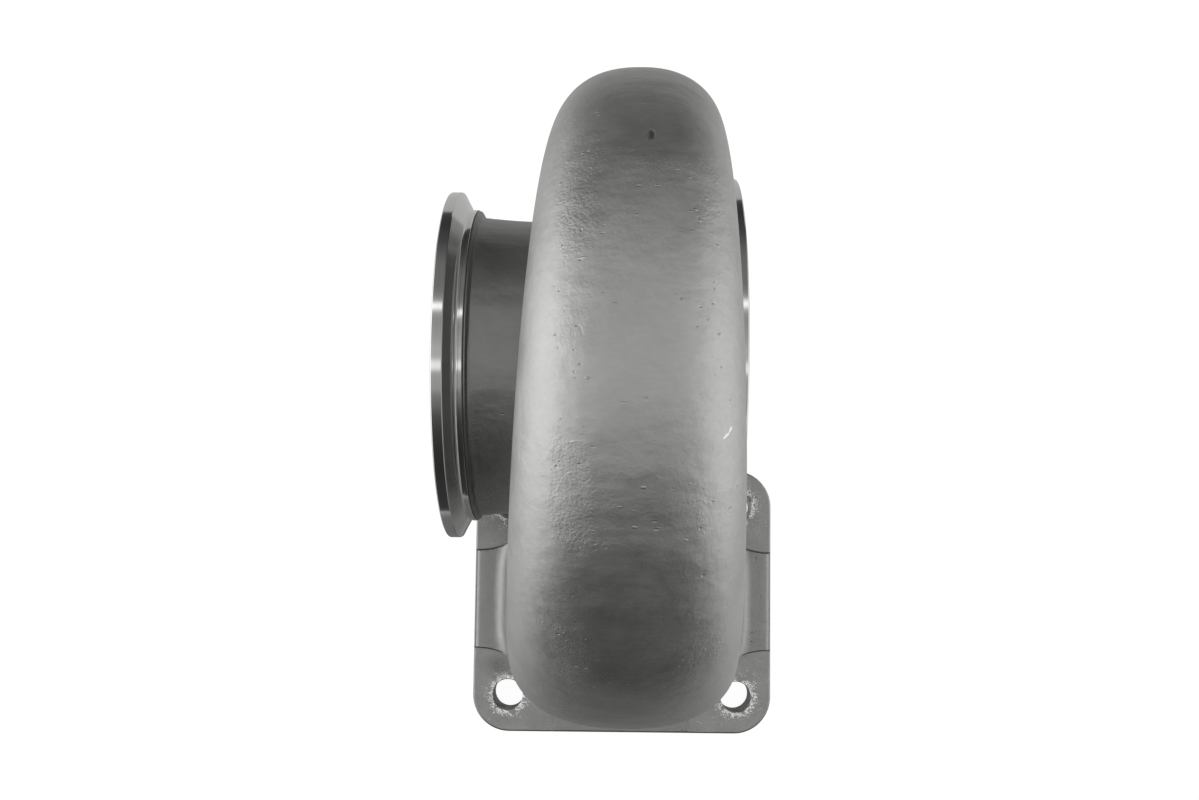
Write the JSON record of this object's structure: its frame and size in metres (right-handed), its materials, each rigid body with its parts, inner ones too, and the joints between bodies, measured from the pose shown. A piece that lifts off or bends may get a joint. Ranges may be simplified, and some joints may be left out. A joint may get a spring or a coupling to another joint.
{
  "type": "turbocharger turbine housing",
  "caption": "Cast turbine housing: rectangular bolted inlet flange, tapering scroll, outlet neck and bearing side with clamp-ring flanges.",
  "frame": {"origin": "centre of the inlet flange's gasket face", "axes": "+Z from the inlet flange's gasket face towards the scroll; the turbine axis is parallel to X, at y = 0.0851 and z = 0.1007, with the outlet at -X and the bearing side at +X; +Y is the side of the duct on which the turbine axis lies"},
  "size_m": [0.1222, 0.2377, 0.2124],
  "materials": {
    "cast_stainless_steel": "satin"
  },
  "bodies": {
    "root": {"turbine_housing": "cast_stainless_steel"}
  },
  "joints": []
}
